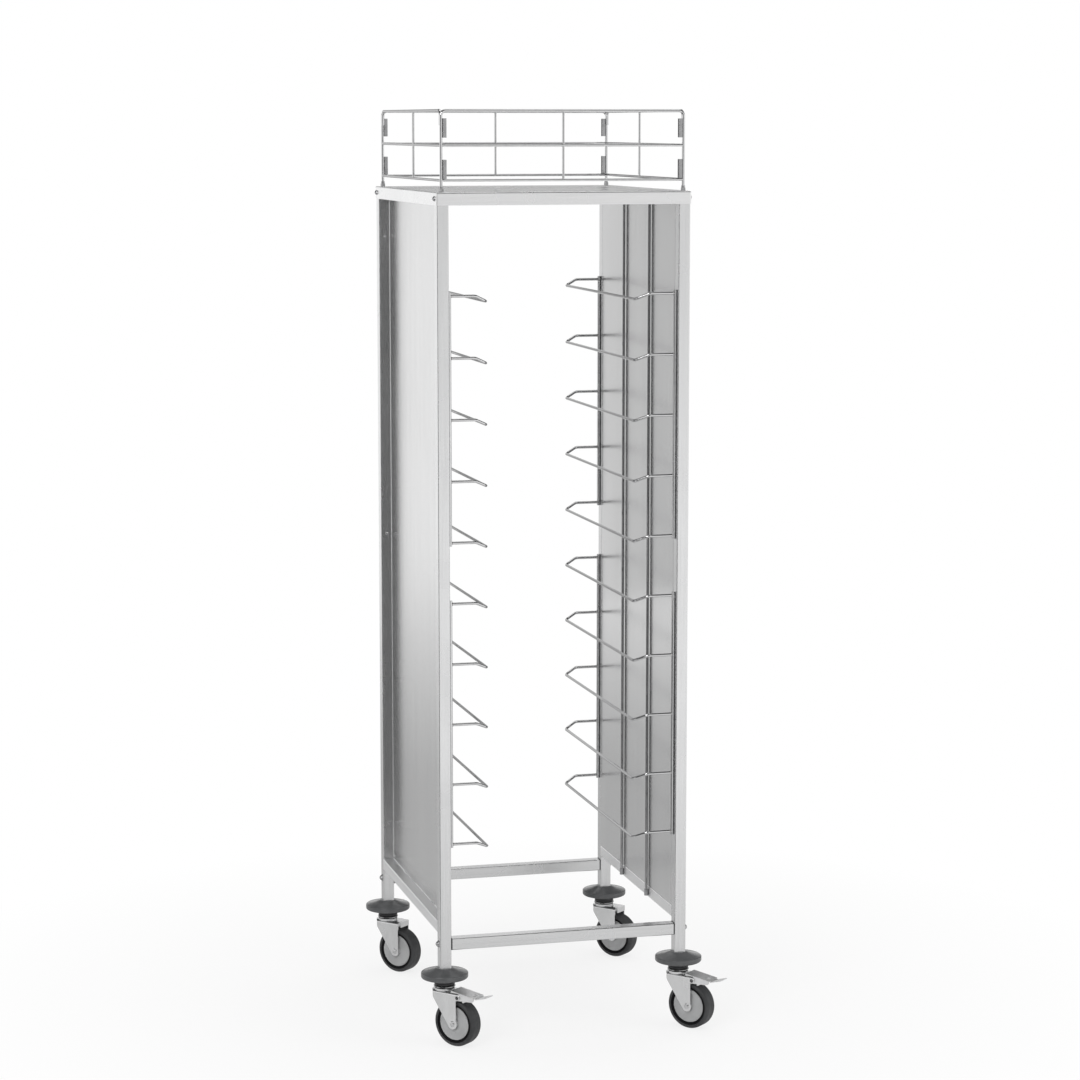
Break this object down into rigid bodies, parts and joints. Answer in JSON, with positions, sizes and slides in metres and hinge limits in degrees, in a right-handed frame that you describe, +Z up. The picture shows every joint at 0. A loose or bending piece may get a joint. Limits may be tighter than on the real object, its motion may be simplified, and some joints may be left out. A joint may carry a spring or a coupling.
{
  "type": "gastronorm tray trolley",
  "caption": "Tall closed-sided stainless tray trolley with bent wire tray supports, a galleried top shelf and swivel castors with round bumpers and brakes.",
  "frame": {"origin": "on the floor, under the middle of the square-tube frame", "axes": "+X to the trolley's right side, +Y to its rear, +Z up; the open front, where trays go in, faces -Y"},
  "size_m": [0.6509, 0.7284, 1.954],
  "materials": {
    "tube_steel": "satin stainless tube",
    "panel_steel": "satin stainless sheet",
    "shelf_steel": "satin stainless sheet",
    "wire_steel": "bright stainless wire",
    "fixing_steel": "plain stainless",
    "castor_steel": "plated pressed steel",
    "plug_plastic": "moulded, dark",
    "bumper_rubber": "moulded, grey",
    "rim_plastic": "moulded, grey",
    "tyre_rubber": "dark grey solid tyre"
  },
  "bodies": {
    "frame": {"post_front_left": "tube_steel", "post_front_right": "tube_steel", "post_rear_left": "tube_steel", "post_rear_right": "tube_steel", "rail_front": "tube_steel", "rail_rear": "tube_steel", "rail_left": "tube_steel", "rail_right": "tube_steel", "rails_top": "tube_steel", "rail_plugs": "plug_plastic", "post_inserts": "plug_plastic", "castor_plugs": "plug_plastic", "rail_bolts": "fixing_steel", "shelf_bolts": "fixing_steel", "panel_rivets": "fixing_steel", "gallery_feet": "fixing_steel", "top_shelf": "shelf_steel", "panel_left": "panel_steel", "panel_right": "panel_steel", "guard_rods_left": "wire_steel", "guard_rods_right": "wire_steel", "rack_upper_left": "wire_steel", "rack_lower_left": "wire_steel", "rack_upper_right": "wire_steel", "rack_lower_right": "wire_steel", "gallery_front": "wire_steel", "gallery_rear": "wire_steel", "gallery_left": "wire_steel", "gallery_right": "wire_steel", "gallery_clips": "wire_steel", "castor_stems": "castor_steel", "castor_races": "castor_steel", "bumper_front_left": "bumper_rubber", "bumper_front_right": "bumper_rubber", "bumper_rear_left": "bumper_rubber", "bumper_rear_right": "bumper_rubber"},
    "swivel_front_left": {"fork_front_left": "castor_steel", "axle_front_left": "castor_steel", "pedal_pin_front_left": "castor_steel"},
    "wheel_front_left": {"rim_front_left": "rim_plastic", "tyre_front_left": "tyre_rubber"},
    "pedal_front_left": {"pedal_front_left": "castor_steel"},
    "swivel_front_right": {"fork_front_right": "castor_steel", "axle_front_right": "castor_steel", "pedal_pin_front_right": "castor_steel"},
    "wheel_front_right": {"rim_front_right": "rim_plastic", "tyre_front_right": "tyre_rubber"},
    "pedal_front_right": {"pedal_front_right": "castor_steel"},
    "swivel_rear_left": {"fork_rear_left": "castor_steel", "axle_rear_left": "castor_steel"},
    "wheel_rear_left": {"rim_rear_left": "rim_plastic", "tyre_rear_left": "tyre_rubber"},
    "swivel_rear_right": {"fork_rear_right": "castor_steel", "axle_rear_right": "castor_steel"},
    "wheel_rear_right": {"rim_rear_right": "rim_plastic", "tyre_rear_right": "tyre_rubber"}
  },
  "joints": [
    {"name": "swivel_front_left", "type": "hinge", "parent": "frame", "child": "swivel_front_left", "pos_m": [-0.2575, -0.2925, 0.118], "axis": [0, 0, 1], "continuous": true},
    {"name": "roll_front_left", "type": "hinge", "parent": "swivel_front_left", "child": "wheel_front_left", "pos_m": [-0.23475, -0.31777, 0.05], "axis": [0.7431, 0.6691, 0], "continuous": true},
    {"name": "brake_front_left", "type": "hinge", "parent": "swivel_front_left", "child": "pedal_front_left", "pos_m": [-0.22672, -0.32669, 0.108], "axis": [0.7431, 0.6691, 0], "range_deg": [0, 12]},
    {"name": "swivel_front_right", "type": "hinge", "parent": "frame", "child": "swivel_front_right", "pos_m": [0.2575, -0.2925, 0.118], "axis": [0, 0, 1], "continuous": true},
    {"name": "roll_front_right", "type": "hinge", "parent": "swivel_front_right", "child": "wheel_front_right", "pos_m": [0.28025, -0.31777, 0.05], "axis": [0.7431, 0.6691, 0], "continuous": true},
    {"name": "brake_front_right", "type": "hinge", "parent": "swivel_front_right", "child": "pedal_front_right", "pos_m": [0.28828, -0.32669, 0.108], "axis": [0.7431, 0.6691, 0], "range_deg": [0, 12]},
    {"name": "swivel_rear_left", "type": "hinge", "parent": "frame", "child": "swivel_rear_left", "pos_m": [-0.2575, 0.2925, 0.118], "axis": [0, 0, 1], "continuous": true},
    {"name": "roll_rear_left", "type": "hinge", "parent": "swivel_rear_left", "child": "wheel_rear_left", "pos_m": [-0.23475, 0.26723, 0.05], "axis": [0.7431, 0.6691, 0], "continuous": true},
    {"name": "swivel_rear_right", "type": "hinge", "parent": "frame", "child": "swivel_rear_right", "pos_m": [0.2575, 0.2925, 0.118], "axis": [0, 0, 1], "continuous": true},
    {"name": "roll_rear_right", "type": "hinge", "parent": "swivel_rear_right", "child": "wheel_rear_right", "pos_m": [0.28025, 0.26723, 0.05], "axis": [0.7431, 0.6691, 0], "continuous": true}
  ]
}
